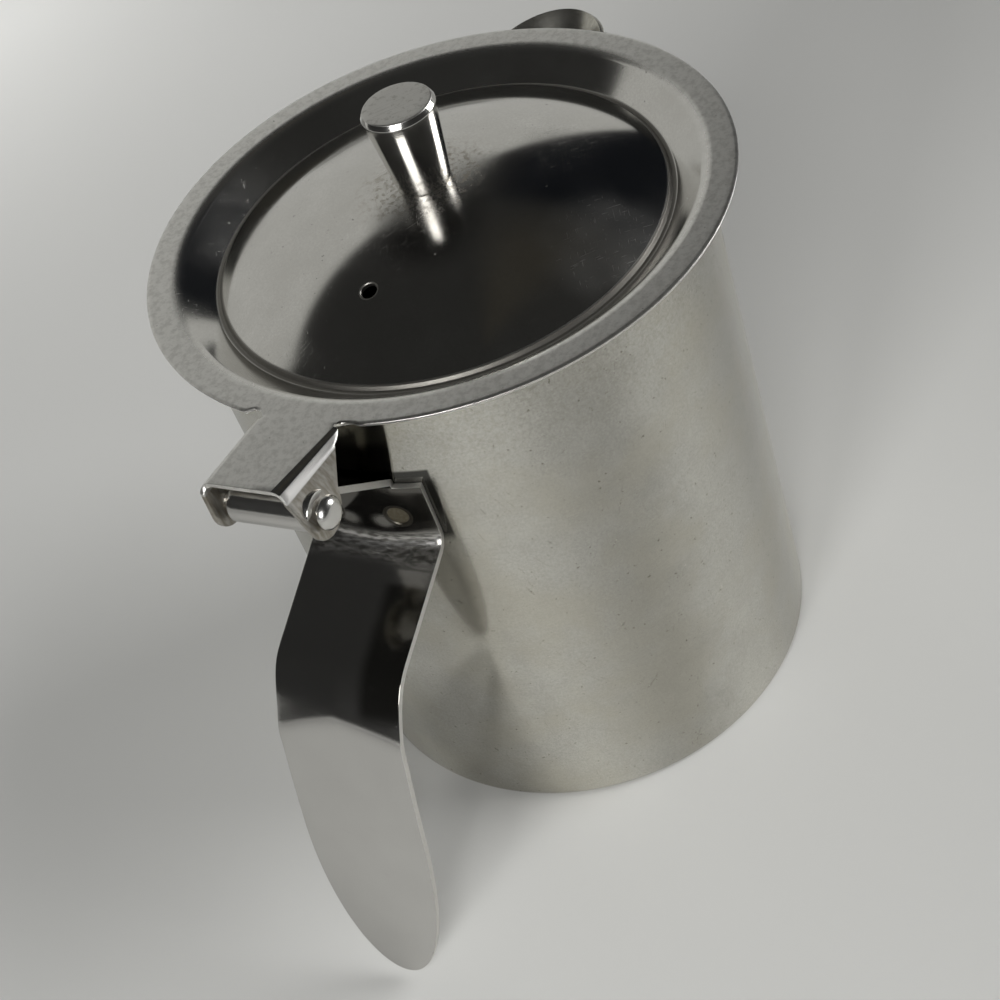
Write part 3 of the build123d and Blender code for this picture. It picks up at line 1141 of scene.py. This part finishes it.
# rows of (x, y, z) down the strip's outer face, from the split to the blade's tip
def stripRows(spread):
    start, end = handle["diagonalStart"], handle["diagonalEnd"]
    heading = (end - start).normalized()
    kneeHeading = tangentArc(end, heading, handle["kneeEnd"], 1)[1]
    drop = tangentArc(handle["kneeEnd"], kneeHeading, handle["bladeEnd"], 60)[0]
    drop = [handle["kneeEnd"]] + drop
    tipStart = handle["bladeEnd"].y + handle["tipLength"]

    def dropX(z):
        for upper, lower in zip(drop, drop[1:]):
            if lower.y <= z + 1e-9:
                return lower.x + (upper.x - lower.x) * (z - lower.y) / (upper.y - lower.y)
        return drop[-1].x

    # the knee for one column: it runs lower at the strip's two edges than in its middle
    def kneeAt(s):
        least, more = handle["kneeSag"][1 if s > 0 else -1]
        sag = least + more * abs(s) ** handle["kneeSagPower"]
        middle = handle["kneeMiddle"] - Vector((handle["kneeDrift"], 1)) * sag
        lean = -slopeDirection(handle["kneeSlope"] - handle["kneeLean"] * s)
        low = middle.y - handle["kneeFoot"]
        foot = Vector((dropX(low), low))
        away = (Vector((dropX(low - 1 * mm), low - 1 * mm)) - foot).normalized()
        return easedRun(end, heading, middle, lean, 10) + easedRun(middle, lean, foot, away, 10)

    columns = []
    for s in spread:
        y = s * handle["plateHalfWidth"]
        x = plateX(y)
        cornerZ = start.y + (x - start.x) * heading.y / heading.x
        bend = bendLine([(x, handle["split"], 0), (x, cornerZ, handle["bend"]), (end.x, end.y, 0)], 8)
        path = [bend[0].lerp(bend[1], i / 6) for i in range(6)] + bend[1:-1]
        knee = kneeAt(s)
        path += [bend[-2].lerp(end, i / 10) for i in range(1, 11)] + knee
        foot = knee[-1].y
        fall = [foot + (tipStart - foot) * i / 8 for i in range(1, 9)]
        path += [Vector((dropX(z), z)) for z in fall]
        column = [Vector((p.x, s * halfWidthAt(p.y), p.y)) for p in path]
        for i in range(1, 19):
            t = i / 18
            z = tipStart - handle["tipLength"] * t * math.sqrt(1 - s * s / 2)
            aside = s * handle["bladeHalfWidth"] * math.sqrt(1 - t * t / 2)
            column.append(Vector((dropX(z), aside, z)))
        columns.append(column)
    return [list(row) for row in zip(*columns)]


# rows of the tongue up from the split, over the pin and round it
def tongueRows(ys):
    pin = Vector((-lid["pinReach"], lid["pinHeight"]))
    rise = math.pi / 2 - handle["tongueSlope"]
    up = Vector((-math.cos(handle["tongueSlope"]), math.sin(handle["tongueSlope"])))
    touch = pin + handle["curlBore"] * Vector((math.cos(rise), math.sin(rise)))
    columns = []
    for y in ys:
        x = plateX(y)
        cornerZ = touch.y + (x - touch.x) * up.y / up.x
        bend = bendLine([(x, handle["split"], 0), (x, cornerZ, handle["tongueBend"]), (*touch, 0)], 6)
        path = bend[:-1] + [bend[-2].lerp(touch, i / 6) for i in range(1, 7)]
        for i in range(1, 29):
            turn = rise + handle["curlTurn"] * i / 28
            path.append(pin + handle["curlBore"] * Vector((math.cos(turn), math.sin(turn))))
        # the curl sits a little to one side
        column = []
        for p in path:
            out = min(1, max(0, (x - p.x) / (x - touch.x)))
            column.append(Vector((p.x, y + handle["tongueShift"] * out, p.y)))
        columns.append(column)
    return [list(row) for row in zip(*columns)]


def makeHandle():
    inner = handle["tongueHalfWidth"] / handle["plateHalfWidth"]
    middle = [inner * i / 8 for i in range(-8, 9)]
    outer = [inner + (1 - inner) * i / 5 for i in range(1, 6)]
    spread = [-s for s in reversed(outer)] + middle + outer
    bm = bmesh.new()
    strip = [[bm.verts.new(p) for p in row] for row in stripRows(spread)]
    addRows(bm, strip)
    first = len(outer)
    tongue = tongueRows([s * handle["plateHalfWidth"] for s in middle])
    tongue = [[bm.verts.new(p) for p in row] for row in tongue[1:]]
    addRows(bm, [strip[0][first:first + len(middle)]] + tongue)
    faceOutwards(bm, min(bm.faces, key=lambda face: face.calc_center_median().z), Vector((-1, 0, 0)))
    mesh = bpy.data.meshes.new("handle_strip")
    bm.to_mesh(mesh)
    bm.free()
    mesh.materials.append(handleSteel)
    mesh.materials.append(shearedSteel)
    piece = addPiece("handle_strip", mesh)
    thicken(piece, handle["sheet"], handle["edge"], rim=1)
    mark = flaredHole(handle["weldRadius"], handle["weldFlare"], 2 * mm)
    weldAside, weldHeight = handleFinish["weldAt"]
    turn = math.asin(weldAside / handle["wallReach"])
    for side in (-1, 1):
        out = Vector((-math.cos(turn), side * math.sin(turn), 0))
        place = out * handle["wallReach"] + Vector((0, 0, weldHeight))
        cut(piece, addCutter("mark", mark, out.to_track_quat("Z", "Y").to_matrix(), place))
    smooth(piece)
    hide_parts("handle")
    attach(piece, "pot")


makeHandle()
print("handle ready")

knob = {
    "top": 105.09 * mm,
    "rimHeight": 104.3 * mm,
    "topRadius": 4.75 * mm,
    "rimRadius": 5.2 * mm,
    "footRadius": 3.8 * mm,
    "footBend": 0.15 * mm,
    "rimBend": 0.35 * mm,
    "topBend": 0.3 * mm,
    "rowGap": 1.2 * mm,
    "columns": 96,
}


def makeKnob():
    foot = knob["footRadius"]
    profile = bendLine([
        (0, domeHeight(0), 0),
        (foot, domeHeight(foot), knob["footBend"]),
        (knob["rimRadius"], knob["rimHeight"], knob["rimBend"]),
        (knob["topRadius"], knob["top"], knob["topBend"]),
        (0, knob["top"], 0),
    ])
    profile = divideLine(profile, knob["rowGap"])
    piece = addTurned("knob_turning", profile, knob["columns"], brightSteel)
    smooth(piece, 70)
    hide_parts("knob")
    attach(piece, "lid")


pin = {
    "radius": 1.25 * mm,
    "headRadius": 2.25 * mm,
    "headHeight": 1.4 * mm,
    "headFlat": 1.3 * mm,
    "tailRadius": 1.9 * mm,
    "tailHeight": 0.8 * mm,
    "tailBend": 0.64 * mm,
    "edgeBend": 0.1 * mm,
    "rowGap": 0.8 * mm,
    "columns": 64,
}


def makePin():
    half = lid["tabHalfWidth"]
    headTop, tailEnd = half + pin["headHeight"], -half - pin["tailHeight"]
    profile = bendLine([
        (0, tailEnd, 0),
        (pin["tailRadius"], tailEnd, pin["tailBend"]),
        (pin["tailRadius"], -half, pin["edgeBend"]),
        (pin["radius"], -half, 0),
        (pin["radius"], half, 0),
        (pin["headRadius"], half, pin["edgeBend"]),
        (pin["headRadius"], headTop, pin["headFlat"]),
        (0, headTop, 0),
    ], 10)
    profile = divideLine(profile, pin["rowGap"])
    piece = addTurned("hinge_rivet", profile, pin["columns"], brightSteel)
    turn = Matrix.Rotation(math.radians(90), 4, "X")
    piece.data.transform(Matrix.Translation((-lid["pinReach"], 0, lid["pinHeight"])) @ turn)
    smooth(piece, 70)
    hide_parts("hinge_pin")
    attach(piece, "lid")


makeKnob()
makePin()
print("knob and pin ready")


# the pieces that keep their CAD shape get their finish in their own slots
def paintNodes():
    finishes = {"weld_plugs": weldSteel, "knob_washer": handleSteel, "knob_screw": brightSteel}
    for node, material in finishes.items():
        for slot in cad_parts[node].material_slots:
            slot.material = material


paintNodes()

scene = bpy.context.scene
scene.view_settings.view_transform = "Standard"
